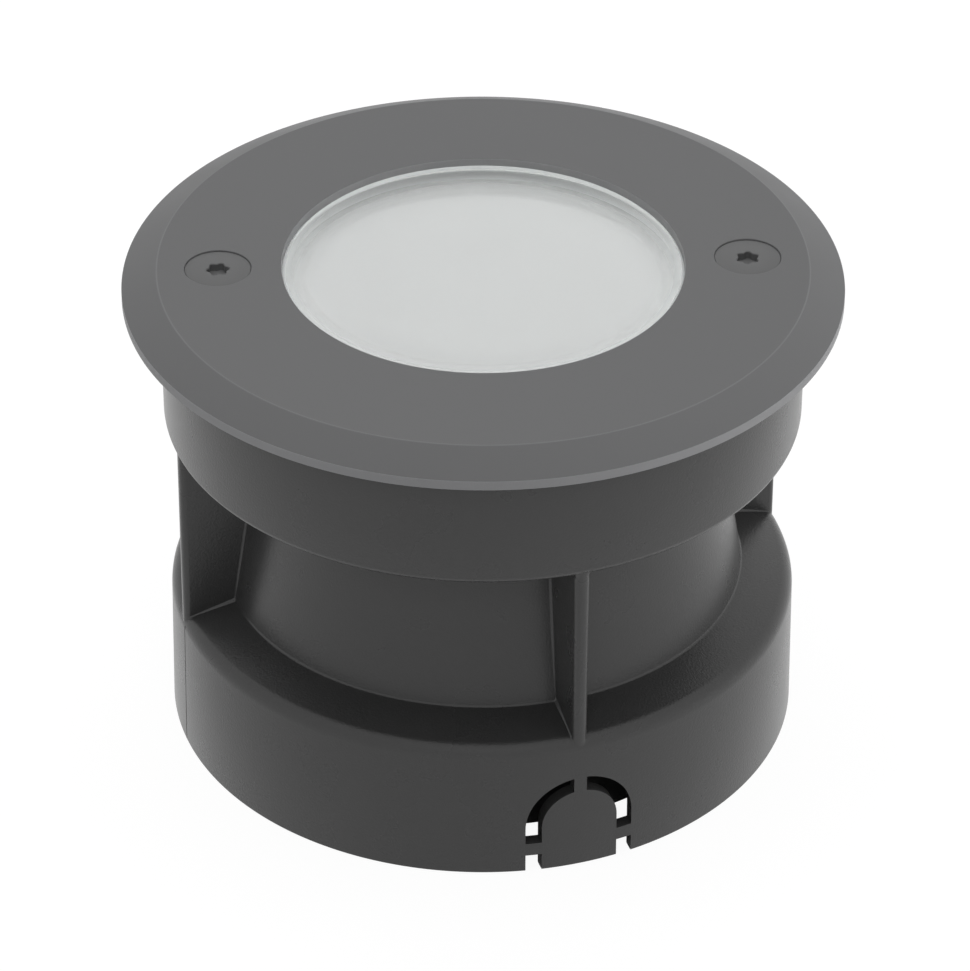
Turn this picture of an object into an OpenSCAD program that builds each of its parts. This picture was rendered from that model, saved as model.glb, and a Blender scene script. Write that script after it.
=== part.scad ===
// Recessed ground spotlight in its installation sleeve.
// Millimetres, +Z up, origin at the centre of the sleeve's lower edge, the two cover screws on the X axis.

/* [Trim ring] */
// Outer diameter of the trim ring
ring_d = 110; // [106:0.5:120]
// Thickness of the trim ring
ring_t = 4.2; // [3.8:0.1:6]
// Height of the upright rim round the trim ring
ring_lip_h = 1.5; // [0.8:0.1:2]
// Diameter at which the sloping edge meets the flat top
ring_flat_d = 99.2; // [97:0.2:102]
// Diameter of the light opening
opening_d = 60.6; // [57:0.2:61.4]
// Chamfer round the light opening
opening_chamfer = 0.9; // [0.6:0.1:1.1]

/* [Cover screws] */
// Distance of a screw's axis from the inner face of the collar
screw_edge = 6.8; // [6.5:0.1:7.1]
// Shank diameter of a cover screw
screw_d = 4.9; // [4.4:0.1:5]
// Head diameter of a cover screw
screw_head_d = 10; // [9.4:0.1:10.4]
// Height of the upright edge of the head
screw_land = 0.3; // [0.2:0.05:0.4]
// Length of a cover screw with its head
screw_l = 20; // [18:0.5:21]
// Outer diameter of the six-lobe drive recess
drive_d = 3.9; // [3.3:0.1:4.4]
// Depth of the six-lobe drive recess
drive_depth = 1.8; // [1.4:0.1:2]
// Outer diameter of a brass insert
insert_d = 6.8; // [6.4:0.1:7.2]
// Length of a brass insert
insert_l = 8; // [7:0.5:9]
// Cord thickness of the small O-ring under each head
screw_seal_t = 0.8; // [0.7:0.05:0.85]

/* [Lens stack] */
// Height of the raised middle of the glass
glass_step_h = 2.8; // [2.4:0.1:3]
// Thickness of the glass under the ring
glass_flange_t = 3; // [2.6:0.1:3.4]
// Width of the glass that lies under the ring
glass_flange_w = 4.35; // [4:0.05:4.5]
// Polished edge chamfer of the glass
glass_chamfer = 0.3; // [0.2:0.05:0.5]
// Thickness of the gasket on the glass
top_gasket_t = 0.5; // [0.4:0.05:0.7]
// Width of both lens gaskets
gasket_w = 2.8; // [2.4:0.1:3]
// Thickness of the gasket under the diffuser
seat_gasket_t = 0.8; // [0.6:0.1:1]
// Thickness of the opal diffuser
diffuser_t = 1.9; // [1.5:0.1:2.2]

/* [Sleeve] */
// Outer diameter of the sleeve's collar
collar_d = 98.6; // [98.2:0.1:99]
// Height of the collar
collar_h = 20.5; // [20.2:0.1:23]
// Wall of the collar
collar_wall = 2.2; // [1.8:0.1:2.4]
// Rounding of the collar's lower edge
collar_round = 1.2; // [0.8:0.1:1.4]
// Thickness of the step inside the collar
shelf_t = 2; // [1.6:0.1:2.4]
// Outer diameter of the neck under the collar
neck_top_d = 72.2; // [71.8:0.2:74]
// Outer diameter of the neck at the ledge
neck_foot_d = 81.8; // [81:0.2:82.4]
// Height of the neck between collar and ledge
neck_h = 28.7; // [28.3:0.1:32]
// Wall of the neck and of the tube under it
neck_wall = 2; // [1.6:0.1:2.2]
// Height of the ledge above the ground side
ledge_h = 25.3; // [25:0.1:28]
// Thickness of the ledge
ledge_t = 2; // [1.6:0.1:2.6]
// Fall of the ledge towards its edge
ledge_fall = 2; // [1.5:0.1:2.4]
// Outer diameter of the skirt at its lower edge
skirt_d = 99; // [98.8:0.1:99.4]
// Outer diameter of the skirt at the ledge
skirt_top_d = 98.2; // [97.8:0.1:98.8]
// Wall of the skirt
skirt_wall = 2; // [1.6:0.1:2.4]
// Rounding between ledge and skirt
skirt_round = 3; // [2.4:0.1:3.2]
// Outer diameter of the tube inside the skirt
tube_d = 80; // [79:0.2:80.6]
// Height at which the tube ends above the ground side
tube_lift = 1.5; // [1:0.1:4]
// Number of webs round the neck
web_count = 4; // [4:2:8]
// Thickness of a web
web_t = 2.35; // [1.8:0.05:2.8]
// Turn of the webs against the screw line, in degrees
web_turn = 15; // [10:1:20]
// Outer radius of a web under the collar
web_r = 48.8; // [48.2:0.1:48.9]
// Thickness of the gussets between tube and skirt
gusset_t = 1.6; // [1.2:0.1:2.2]
// Height of a gusset's foot above the ground side
gusset_lift = 8; // [4:0.5:14]
// Diameter of a screw boss
boss_d = 10.4; // [9.6:0.1:10.8]

/* [Knock-out] */
// Width of the knock-out opening in the skirt
knockout_w = 17; // [16.4:0.1:18]
// Width of the gap round the break-out tongue
knockout_gap = 2.5; // [2:0.1:3]
// Height of the centre of the arch
knockout_rise = 8; // [7:0.1:9]
// Height of the side bridges above the ground side
bridge_lift = 3; // [2:0.1:3.4]
// Height of the side bridges
bridge_h = 2.2; // [1.6:0.1:2.6]
// Width of the bridge at the top of the tongue
top_bridge_w = 2; // [1.4:0.1:2.6]

/* [Lamp housing] */
// Diameter of the housing flange
flange_d = 92.8; // [90:0.2:93]
// Thickness of the flange under the lens stack
flange_t = 3; // [2.6:0.1:3.4]
// Depth of the cup under the flange
cup_depth = 44; // [43:0.5:46]
// Wall of the cup at the flange
cup_top_wall = 2.8; // [2.5:0.1:3.1]
// Wall of the cup at the bottom
cup_foot_wall = 3.5; // [3:0.1:3.8]
// Width of a cooling fin at the flange
fin_top_w = 2.6; // [1.6:0.1:2.7]
// Width of a cooling fin at the bottom
fin_foot_w = 2.5; // [1.5:0.1:3]
// Number of cooling fins
fin_count = 24; // [16:2:28]
// Thickness of a cooling fin
fin_t = 1.6; // [1.2:0.1:2]
// Width of the step under the reflector's rim
rim_step_w = 2.8; // [2.6:0.1:3]
// Width of the shoulder under the heat plate
shoulder_w = 2; // [1.8:0.1:2.3]
// Depth of the shoulder under the flange
shoulder_depth = 10; // [9:0.5:11]
// Thickness of the cup's floor
cup_floor_t = 4.5; // [4:0.1:5]

/* [Light engine] */
// Thickness of the heat plate
plate_t = 2.5; // [2:0.1:3]
// Diameter of the circuit board that carries the light chips
board_d = 41; // [38:0.5:41.4]
// Thickness of that board
board_t = 1.6; // [1:0.1:2]
// Side of a light chip
chip_w = 3.2; // [2.8:0.1:3.5]
// Height of a light chip
chip_h = 0.7; // [0.5:0.05:1]
// Number of chips on the outer circle
chip_count = 12; // [8:1:14]
// Wall of the reflector
reflector_wall = 1.1; // [0.9:0.1:1.3]
// Inner diameter of the reflector at the board
reflector_foot_d = 46; // [45.4:0.2:47]
// Length of the driver case
driver_l = 34; // [32:0.5:35]
// Width of the driver case
driver_w = 26; // [24:0.5:26.5]
// Height of the driver case
driver_h = 13; // [11:0.5:14]
// Length of the terminal block
terminal_l = 24; // [22:0.5:25]
// Width of the terminal block
terminal_w = 8; // [7:0.5:8.5]
// Height of the terminal block
terminal_h = 10.5; // [9:0.5:11]
// Diameter of an inner lead
lead_d = 1.6; // [1.2:0.1:1.8]

/* [Cable gland] */
// Diameter of the gland's threads
gland_d = 16; // [15.6:0.1:16.4]
// Size across the flats of the gland body and nut
gland_af = 20; // [19.4:0.2:22]
// Thickness of the gland's hexagon
gland_hex_t = 4; // [3:0.5:4.5]
// Thickness of the sealing washer over the hexagon
gland_washer_t = 1; // [0.8:0.1:1.5]
// Length of the thread under the hexagon
gland_tail_l = 9; // [8:0.5:9.5]
// Length of the gland nut
gland_nut_l = 10.5; // [9.5:0.5:10.5]
// Bore of the rubber seal, for a cable of this diameter
cable_d = 7.5; // [5:0.1:8]
// Outer diameter of the rubber seal
seal_d = 12.4; // [11.6:0.1:12.6]
// Length of the rubber seal
seal_l = 8; // [7:0.5:8]
// Thickness of the slip ring in the nut
slip_t = 1; // [0.8:0.1:1.2]

/* [Clearances] */
// Gap between pieces that lift apart
body_gap = 0.3; // [0.25:0.05:0.4]
// Gap round the raised glass in the ring
glass_gap = 0.25; // [0.2:0.05:0.35]
// Gap round the lens stack in its pocket
pocket_gap = 0.5; // [0.3:0.1:0.6]
// Gap between diffuser and glass
lens_gap = 0.1; // [0.05:0.05:0.2]
// Gap round a screw head in its countersink
head_gap = 0.2; // [0.15:0.05:0.3]
// Gap between a shank and the hole that it passes
shank_gap = 0.3; // [0.2:0.05:0.4]
// Running gap of a thread, a seal or a shank in its own bore
thread_gap = 0.1; // [0.05:0.01:0.1]
// Gap round the inner pieces in the cup
cup_gap = 0.3; // [0.2:0.05:0.5]
// Gap between the circuit board and the heads of the plate screws
board_gap = 0.4; // [0.2:0.05:0.6]

/* [Hidden] */
$fn = 96;

// Overrun of cuts, depth to which joined shapes run into each other, points on a rounded corner
over = 1;
sink = 1;
round_steps = 6;

// Levels of the sleeve, from the ground side up
collar_z = ledge_h + neck_h;
sleeve_z = collar_z + collar_h;
round_z = ledge_h - ledge_fall - skirt_round;
side_count = 2;
knockout_turn = web_turn + 90;
collar_r = collar_d / 2;
neck_top_r = neck_top_d / 2;
neck_foot_r = neck_foot_d / 2;
skirt_top_r = skirt_top_d / 2;
tube_r = tube_d / 2;

// Levels of the ring and the lens stack
ring_z = sleeve_z + body_gap;
top_z = ring_z + ring_t;
glass_z = top_z - opening_chamfer;
step_z = glass_z - glass_step_h;
lip_z = step_z + top_gasket_t + body_gap;
glass_foot_z = step_z - glass_flange_t;
diffuser_z = glass_foot_z - lens_gap - diffuser_t;
seat_z = diffuser_z - seat_gasket_t;
opening_r = opening_d / 2;
glass_r = opening_r - glass_gap;
stack_r = glass_r + glass_flange_w;
pocket_r = stack_r + pocket_gap;

// Levels of the lamp housing and what it holds
flange_top_z = ring_z - body_gap;
flange_z = seat_z - flange_t;
shoulder_z = flange_z - shoulder_depth;
cup_z = flange_z - cup_depth;
floor_z = cup_z + cup_floor_t;
rim_t = reflector_wall;
rim_r = glass_r + 2 * glass_gap;
cup_bore_r = rim_r + glass_gap - rim_step_w;
cup_low_bore_r = cup_bore_r - shoulder_w;
cup_top_r = cup_bore_r + cup_top_wall;
cup_foot_r = cup_low_bore_r + cup_foot_wall;
fin_top_r = cup_top_r + fin_top_w;
fin_foot_r = cup_foot_r + fin_foot_w;
board_z = shoulder_z + plate_t;
chip_z = board_z + board_t;

// Places of the cover screws, drop of the O-ring under the head, swing and turn of the six-lobe recess
seal_drop_share = 0.7;
lobe_share = 0.11;
left_turn = 8;
right_turn = 22;
screw_x = collar_r - collar_wall - screw_edge;
head_r = screw_head_d / 2;
shank_r = screw_d / 2;
screw_foot_z = top_z - screw_l;
boss_z = flange_z - body_gap;
insert_r = insert_d / 2;
seal_r = shank_r + thread_gap / 2 + screw_seal_t / 2;
seal_pocket_r = seal_r + screw_seal_t / 2 + thread_gap;
seal_z = top_z - screw_land - head_r + seal_r - thread_gap - screw_seal_t * seal_drop_share;
seal_floor_z = seal_z - screw_seal_t / 2 - thread_gap;

// Small screws inside the housing, and the lugs that take them
small_d = 2.9;
small_head_d = 5.2;
small_head_h = 1.7;
small_l = 8;
small_slot = 0.9;
grip_share = 0.6;
lug_r = 3.2;
lug_count = 3;
lug_turn = 60;
lug_h = 8;
lug_sink = 0.7;
lug_place_r = cup_low_bore_r - lug_r + lug_sink;

// Places on the light board
board_edge_share = 0.65;
board_screw_r = board_d / 2 - small_head_d * board_edge_share;
chip_outer_r = board_screw_r - small_head_d;
chip_inner_share = 0.42;
chip_inner_r = chip_outer_r * chip_inner_share;
chip_inner_count = 4;

// Driver, terminal block and earth point inside the cup
driver_gap = 2.5;
driver_z = shoulder_z - driver_h - driver_gap;
ear_t = 2.5;
ear_w = 7;
ear_reach_share = 0.62;
post_x = driver_l / 2 + ear_w * ear_reach_share;
post_r = 3.1;
terminal_y = driver_w / 2 + terminal_w / 2;
pole_share = 0.295;
terminal_pitch = terminal_l * pole_share;
lead_bend = 1.5 * lead_d;
lead_entry_share = 0.25;
led_lead_y = -(chip_outer_r + chip_inner_r) / 2;
led_lead_hole_r = 1.5 * lead_d;
earth_share = 0.66;
earth_y = -cup_low_bore_r * earth_share;
earth_boss_r = 4;
earth_boss_h = 4;
lug_plate_t = 0.8;

// Levels and radii of the cable gland
gland_proud = 1;
cable_room = 1;
gland_r = gland_d / 2;
hex_z = cup_z - gland_washer_t - gland_hex_t;
tail_z = hex_z - gland_tail_l;
gland_top_z = floor_z + gland_proud;
seal_top_z = tail_z + seal_l;
nut_shoulder = slip_t * 2;
nut_z = tail_z - body_gap - slip_t - thread_gap - nut_shoulder;
slip_z = nut_z + nut_shoulder + thread_gap;
nut_mouth_r = cable_d / 2 + cable_room;

// Points on an arc round c, from one angle to another
function arc(c, r, from, to) =
    [for (i = [0:round_steps]) let (a = from + (to - from) * i / round_steps)
        [c[0] + r * cos(a), c[1] + r * sin(a)]];

// Outer radius of the skirt at height z
function skirt_r(z) = skirt_d / 2 + (skirt_top_r - skirt_d / 2) * z / round_z;

// A tube between two levels
module tube(inner, outer, low, high) {
    translate([0, 0, low])
        difference() {
            cylinder(r = outer, h = high - low);
            translate([0, 0, -over])
                cylinder(r = inner, h = high - low + 2 * over);
        }
}

// Copies in a circle of the given radius
module around(count, radius, turn = 0) {
    for (i = [0:count - 1])
        rotate([0, 0, turn + 360 * i / count])
            translate([radius, 0, 0])
                children();
}

// Copies at the two cover screws
module at_screws() {
    for (side = [-1, 1])
        translate([side * screw_x, 0, 0])
            children();
}

// Half outline of the sleeve: collar, step, neck, ledge, skirt and inner tube
module sleeve_outline() {
    polygon(concat(
        [[collar_r, sleeve_z]],
        arc([collar_r - collar_round, collar_z + collar_round], collar_round, 0, -90),
        [[neck_top_r, collar_z], [neck_foot_r, ledge_h]],
        arc([skirt_top_r - skirt_round, round_z], skirt_round, 90, 0),
        [
            [skirt_d / 2, 0],
            [skirt_d / 2 - skirt_wall, 0],
            [skirt_top_r - skirt_wall, ledge_h - ledge_fall - ledge_t],
            [tube_r, ledge_h - ledge_t],
            [tube_r, tube_lift],
            [tube_r - neck_wall, tube_lift],
            [tube_r - neck_wall, ledge_h - ledge_t],
            [neck_top_r - neck_wall, collar_z],
            [neck_top_r - neck_wall, collar_z + shelf_t],
            [collar_r - collar_wall, collar_z + shelf_t],
            [collar_r - collar_wall, sleeve_z]
        ]));
}

// One upright web in the waist of the sleeve, from the neck out to the collar's edge
module web() {
    rotate([90, 0, 0])
        translate([0, 0, -web_t / 2])
            linear_extrude(web_t)
                polygon([
                    [neck_top_r - neck_wall / 2, collar_z + shelf_t / 2],
                    [web_r, collar_z + shelf_t / 2],
                    [web_r, collar_z],
                    [skirt_top_r, round_z],
                    [skirt_top_r - skirt_wall / 2, round_z],
                    [neck_foot_r - neck_wall / 2, ledge_h - ledge_t / 2]
                ]);
}

// One gusset under the ledge, between the inner tube and the skirt
module gusset() {
    rotate([90, 0, 0])
        translate([0, 0, -gusset_t / 2])
            linear_extrude(gusset_t)
                polygon([
                    [tube_r - neck_wall / 2, ledge_h - ledge_t / 2],
                    [skirt_top_r - skirt_wall / 2, ledge_h - ledge_fall - ledge_t / 2],
                    [skirt_r(gusset_lift) - skirt_wall / 2, gusset_lift],
                    [tube_r - neck_wall / 2, gusset_lift]
                ]);
}

// An arched doorway standing on the ground side, as a flat shape
module arch(w) {
    translate([0, knockout_rise])
        circle(d = w);
    translate([-w / 2, -over])
        square([w, knockout_rise + over]);
}

// The slot round the break-out tongue, with the three bridges that hold the tongue
module tongue_slot() {
    rotate([90, 0, 90])
        translate([0, 0, tube_r + skirt_wall])
            linear_extrude(collar_r)
                difference() {
                    arch(knockout_w);
                    arch(knockout_w - 2 * knockout_gap);
                    translate([-knockout_w, bridge_lift])
                        square([2 * knockout_w, bridge_h]);
                    translate([-top_bridge_w / 2, knockout_rise])
                        square([top_bridge_w, knockout_w]);
                }
}

// Moulded sleeve that stays in the ground and takes the light
module mounting_sleeve() {
    color("#4b4c4d")
        difference() {
            union() {
                rotate_extrude()
                    sleeve_outline();
                around(web_count, 0, web_turn)
                    web();
                around(side_count, 0, web_turn)
                    gusset();
                at_screws()
                    translate([0, 0, collar_z + shelf_t / 2])
                        cylinder(d = boss_d, h = boss_z - collar_z - shelf_t / 2);
            }
            around(side_count, 0, knockout_turn)
                tongue_slot();
            at_screws() {
                translate([0, 0, boss_z - insert_l])
                    cylinder(r = insert_r, h = insert_l + over);
                translate([0, 0, collar_z + shelf_t])
                    cylinder(r = shank_r + shank_gap, h = boss_z - collar_z);
            }
        }
}

// Brass inserts moulded into the sleeve's bosses, which take the cover screws
module thread_inserts() {
    color("goldenrod")
        at_screws()
            tube(shank_r + thread_gap, insert_r, boss_z - insert_l, boss_z);
}

// Cast trim ring with a sloping edge, a chamfered opening and two countersinks
module trim_ring() {
    color("#707172")
        difference() {
            rotate_extrude()
                polygon([
                    [ring_d / 2, ring_z],
                    [ring_d / 2, ring_z + ring_lip_h],
                    [ring_flat_d / 2, top_z],
                    [opening_r + opening_chamfer, top_z],
                    [opening_r, glass_z],
                    [opening_r, lip_z],
                    [pocket_r, lip_z],
                    [pocket_r, ring_z]
                ]);
            at_screws() {
                translate([0, 0, ring_z - over])
                    cylinder(r = shank_r + shank_gap, h = ring_t + 2 * over);
                translate([0, 0, seal_floor_z])
                    cylinder(r = seal_pocket_r, h = ring_t);
                translate([0, 0, top_z - screw_land - head_r])
                    cylinder(r1 = head_gap, r2 = head_r + head_gap, h = head_r);
                translate([0, 0, top_z - screw_land])
                    cylinder(r = head_r + head_gap, h = screw_land + over);
            }
        }
}

// Six-lobe recess as a flat shape: a circle whose radius swings six times a turn
module six_lobe(d) {
    polygon([for (a = [0:10:350]) d / 2 * (1 - lobe_share + lobe_share * cos(6 * a)) * [cos(a), sin(a)]]);
}

// Countersunk screw standing with its head flush in the ring
module cover_screw(turn) {
    rotate([0, 0, turn])
        difference() {
            rotate_extrude()
                polygon([
                    [0, top_z],
                    [head_r, top_z],
                    [head_r, top_z - screw_land],
                    [shank_r, top_z - screw_land - head_r + shank_r],
                    [shank_r, screw_foot_z + shank_r / 3],
                    [shank_r * 2 / 3, screw_foot_z],
                    [0, screw_foot_z]
                ]);
            translate([0, 0, top_z - drive_depth])
                linear_extrude(drive_depth + over)
                    six_lobe(drive_d);
        }
}

module cover_screw_left() {
    color("#5c5d5e")
        translate([-screw_x, 0, 0])
            cover_screw(left_turn);
}

module cover_screw_right() {
    color("#5c5d5e")
        translate([screw_x, 0, 0])
            cover_screw(right_turn);
}

// Small O-ring round the shank, close under the head
module screw_seal() {
    translate([0, 0, seal_z])
        rotate_extrude()
            translate([seal_r, 0])
                circle(d = screw_seal_t);
}

module screw_seal_left() {
    color("#202020")
        translate([-screw_x, 0, 0])
            screw_seal();
}

module screw_seal_right() {
    color("#202020")
        translate([screw_x, 0, 0])
            screw_seal();
}

// Toughened glass with a raised middle that fills the ring's opening
module glass_lens() {
    color("lightcyan")
        rotate_extrude()
            polygon([
                [0, glass_z],
                [glass_r - glass_chamfer, glass_z],
                [glass_r, glass_z - glass_chamfer],
                [glass_r, step_z],
                [stack_r - glass_chamfer, step_z],
                [stack_r, step_z - glass_chamfer],
                [stack_r, glass_foot_z + glass_chamfer],
                [stack_r - glass_chamfer, glass_foot_z],
                [0, glass_foot_z]
            ]);
}

// Flat silicone gasket between the glass and the ring
module lens_gasket_top() {
    color("#2a2a2a")
        tube(stack_r - glass_chamfer - gasket_w, stack_r - glass_chamfer, step_z, step_z + top_gasket_t);
}

// Flat silicone gasket that carries the diffuser and the glass
module lens_gasket_seat() {
    color("#2a2a2a")
        tube(stack_r - gasket_w, stack_r, seat_z, seat_z + seat_gasket_t);
}

// Opal plate under the glass
module opal_diffuser() {
    color("whitesmoke")
        translate([0, 0, diffuser_z])
            cylinder(r = stack_r, h = diffuser_t);
}

// White funnel between the light chips and the diffuser, hung by its rim
module reflector() {
    foot_z = chip_z + body_gap;
    mouth_z = seat_z - 2 * rim_t;
    mouth_r = cup_bore_r - cup_gap - rim_t;
    foot_r = reflector_foot_d / 2;
    color("white")
        rotate_extrude()
            polygon([
                [foot_r, foot_z],
                [mouth_r, mouth_z],
                [mouth_r, seat_z - body_gap],
                [rim_r, seat_z - body_gap],
                [rim_r, seat_z - rim_t - body_gap],
                [mouth_r + rim_t, seat_z - rim_t - body_gap],
                [mouth_r + rim_t, mouth_z],
                [foot_r + rim_t, foot_z]
            ]);
}

// Space inside the lamp housing: lens pocket, reflector step, cup and lower cup
module housing_hollow() {
    step = rim_t + body_gap;
    rotate_extrude()
        polygon([
            [0, flange_top_z + over],
            [pocket_r, flange_top_z + over],
            [pocket_r, seat_z],
            [rim_r + glass_gap, seat_z],
            [rim_r + glass_gap, seat_z - step],
            [cup_bore_r, seat_z - step],
            [cup_bore_r, shoulder_z],
            [cup_low_bore_r, shoulder_z],
            [cup_low_bore_r, floor_z],
            [0, floor_z]
        ]);
}

// Cast housing: flange, tapered cup, cooling fins, and inside it lugs, posts and the earth boss
module lamp_housing() {
    fin_root_r = cup_foot_r - sink;
    color("silver")
        difference() {
            union() {
                difference() {
                    union() {
                        translate([0, 0, flange_z])
                            cylinder(d = flange_d, h = flange_top_z - flange_z);
                        translate([0, 0, cup_z])
                            cylinder(r1 = cup_foot_r, r2 = cup_top_r, h = cup_depth);
                        intersection() {
                            translate([0, 0, cup_z])
                                cylinder(r1 = fin_foot_r, r2 = fin_top_r, h = cup_depth);
                            around(fin_count, 0, 180 / fin_count)
                                translate([fin_root_r, -fin_t / 2, cup_z])
                                    cube([fin_top_r, fin_t, cup_depth]);
                        }
                    }
                    housing_hollow();
                }
                around(lug_count, lug_place_r, lug_turn)
                    translate([0, 0, shoulder_z - lug_h])
                        cylinder(r = lug_r, h = lug_h);
                for (side = [-1, 1])
                    translate([side * post_x, 0, floor_z - sink])
                        cylinder(r = post_r, h = driver_z - floor_z + sink);
                translate([0, earth_y, floor_z - sink])
                    cylinder(r = earth_boss_r, h = earth_boss_h + sink);
            }
            at_screws()
                translate([0, 0, flange_z - over])
                    cylinder(r = shank_r + shank_gap, h = flange_top_z - flange_z + 2 * over);
            around(lug_count, lug_place_r, lug_turn)
                translate([0, 0, shoulder_z - small_l])
                    cylinder(d = small_d + thread_gap, h = small_l + over);
            for (side = [-1, 1])
                translate([side * post_x, 0, driver_z - small_l])
                    cylinder(d = small_d + thread_gap, h = small_l + over);
            translate([0, earth_y, floor_z])
                cylinder(d = small_d + thread_gap, h = earth_boss_h + over);
            translate([0, 0, cup_z - over])
                cylinder(r = gland_r, h = cup_floor_t + 2 * over);
        }
}

// Aluminium plate on the cup's shoulder, which carries the light board
module heat_plate() {
    color("#b8bcc0")
        translate([0, 0, shoulder_z])
            difference() {
                cylinder(r = cup_bore_r - cup_gap, h = plate_t);
                around(lug_count, lug_place_r, lug_turn)
                    translate([0, 0, -over])
                        cylinder(d = small_d + 2 * shank_gap, h = plate_t + 2 * over);
                around(lug_count, board_screw_r)
                    translate([0, 0, -over])
                        cylinder(d = small_d + thread_gap, h = plate_t + 2 * over);
                translate([0, led_lead_y, -over])
                    cylinder(r = led_lead_hole_r, h = plate_t + 2 * over);
            }
}

// Small pan-head screw with its head resting on z = 0
module small_screw(length) {
    translate([0, 0, -length])
        cylinder(d = small_d, h = length);
    difference() {
        cylinder(d1 = small_head_d, d2 = small_head_d * 0.8, h = small_head_h);
        translate([-small_head_d / 2, -small_slot / 2, small_head_h / 2])
            cube([small_head_d, small_slot, small_head_h]);
    }
}

module plate_screws() {
    color("lightgrey")
        around(lug_count, lug_place_r, lug_turn)
            translate([0, 0, board_z])
                small_screw(plate_t + small_l * grip_share);
}

// Round metal-core board, its edge notched where it would reach the heads of the plate screws
module led_board() {
    color("ivory")
        translate([0, 0, board_z])
            difference() {
                cylinder(d = board_d, h = board_t);
                around(lug_count, board_screw_r)
                    translate([0, 0, -over])
                        cylinder(d = small_d + 2 * shank_gap, h = board_t + 2 * over);
                around(lug_count, lug_place_r, lug_turn)
                    translate([0, 0, -over])
                        cylinder(d = small_head_d + 2 * board_gap, h = board_t + 2 * over);
                translate([0, led_lead_y, -over])
                    cylinder(r = led_lead_hole_r, h = board_t + 2 * over);
            }
}

// Light chips on two circles
module led_chips() {
    color("khaki")
        translate([0, 0, chip_z]) {
            around(chip_count, chip_outer_r, 180 / chip_count)
                translate([-chip_w / 2, -chip_w / 2, 0])
                    cube([chip_w, chip_w, chip_h]);
            translate([chip_w, 0, 0])
                around(chip_inner_count, chip_inner_r, 45)
                    translate([-chip_w / 2, -chip_w / 2, 0])
                        cube([chip_w, chip_w, chip_h]);
        }
}

module board_screws() {
    color("lightgrey")
        around(lug_count, board_screw_r)
            translate([0, 0, chip_z])
                small_screw(board_t + plate_t - body_gap);
}

// Potted driver case with an ear at each end
module driver_case() {
    color("#e8e6df")
        translate([0, 0, driver_z])
            difference() {
                union() {
                    translate([-driver_l / 2, -driver_w / 2, 0])
                        cube([driver_l, driver_w, driver_h]);
                    for (side = [-1, 1])
                        translate([side * post_x, 0, 0])
                            cylinder(d = ear_w, h = ear_t);
                    translate([-post_x, -ear_w / 2, 0])
                        cube([2 * post_x, ear_w, ear_t]);
                }
                for (side = [-1, 1])
                    translate([side * post_x, 0, -over])
                        cylinder(d = small_d + 2 * shank_gap, h = ear_t + 2 * over);
            }
}

module driver_screws() {
    color("lightgrey")
        for (side = [-1, 1])
            translate([side * post_x, 0, driver_z + ear_t])
                small_screw(ear_t + small_l * grip_share);
}

// Three-pole terminal block on the cup's floor
module terminal_block() {
    color("dimgrey")
        difference() {
            translate([-terminal_l / 2, terminal_y - terminal_w / 2, floor_z])
                cube([terminal_l, terminal_w, terminal_h]);
            for (i = [-1:1])
                translate([i * terminal_pitch, terminal_y, floor_z + terminal_h / 2])
                    cylinder(d = small_d + thread_gap, h = terminal_h);
        }
}

module terminal_screws() {
    color("lightgrey")
        for (i = [-1:1])
            translate([i * terminal_pitch, terminal_y, floor_z + terminal_h / 2])
                difference() {
                    cylinder(d = small_d, h = terminal_h / 3);
                    translate([-small_d, -small_slot / 4, terminal_h / 4])
                        cube([2 * small_d, small_slot / 2, terminal_h]);
                }
}

// Leads from the terminal block up and over into the side of the driver
module supply_leads() {
    up_z = driver_z + driver_h * lead_entry_share;
    low_z = floor_z + terminal_h;
    out_y = terminal_y + terminal_w / 2 - lead_d;
    color("firebrick")
        for (i = [-1:1])
            translate([i * terminal_pitch, 0, 0]) {
                translate([0, out_y, low_z])
                    cylinder(d = lead_d, h = up_z - low_z);
                translate([0, out_y - lead_bend, up_z])
                    rotate([90, 0, 90])
                        rotate_extrude(angle = 90)
                            translate([lead_bend, 0])
                                circle(d = lead_d);
                translate([0, driver_w / 2, up_z + lead_bend])
                    rotate([-90, 0, 0])
                        cylinder(d = lead_d, h = out_y - lead_bend - driver_w / 2);
            }
}

// Two leads from the driver up through the heat plate to the light board
module led_leads() {
    color("firebrick")
        for (side = [-1, 1])
            translate([side * lead_d * 0.75, led_lead_y, driver_z + driver_h])
                cylinder(d = lead_d, h = chip_z + chip_h - driver_z - driver_h);
}

// Earth tag clamped on its boss
module earth_lug() {
    color("silver")
        translate([0, earth_y, floor_z + earth_boss_h])
            difference() {
                union() {
                    cylinder(r = earth_boss_r, h = lug_plate_t);
                    translate([0, -small_d / 2, 0])
                        cube([2.2 * earth_boss_r, small_d, lug_plate_t]);
                }
                translate([0, 0, -over])
                    cylinder(d = small_d + thread_gap, h = lug_plate_t + 2 * over);
            }
}

module earth_screw() {
    color("lightgrey")
        translate([0, earth_y, floor_z + earth_boss_h + lug_plate_t])
            small_screw(lug_plate_t + earth_boss_h - body_gap);
}

// Cable gland body: upper thread in the housing floor, hexagon, lower thread for the nut
module gland_body() {
    color("#3c3d3e")
        difference() {
            union() {
                translate([0, 0, hex_z])
                    cylinder(r = gland_r - thread_gap, h = gland_top_z - hex_z);
                translate([0, 0, hex_z])
                    cylinder(d = gland_af / cos(30), h = gland_hex_t, $fn = 6);
                translate([0, 0, tail_z])
                    cylinder(r = gland_r - thread_gap, h = gland_tail_l);
            }
            translate([0, 0, tail_z - over])
                cylinder(d = cable_d + cable_room, h = gland_top_z - tail_z + 2 * over);
            translate([0, 0, tail_z - over])
                cylinder(d = seal_d + 2 * thread_gap, h = seal_l + over);
        }
}

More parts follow.
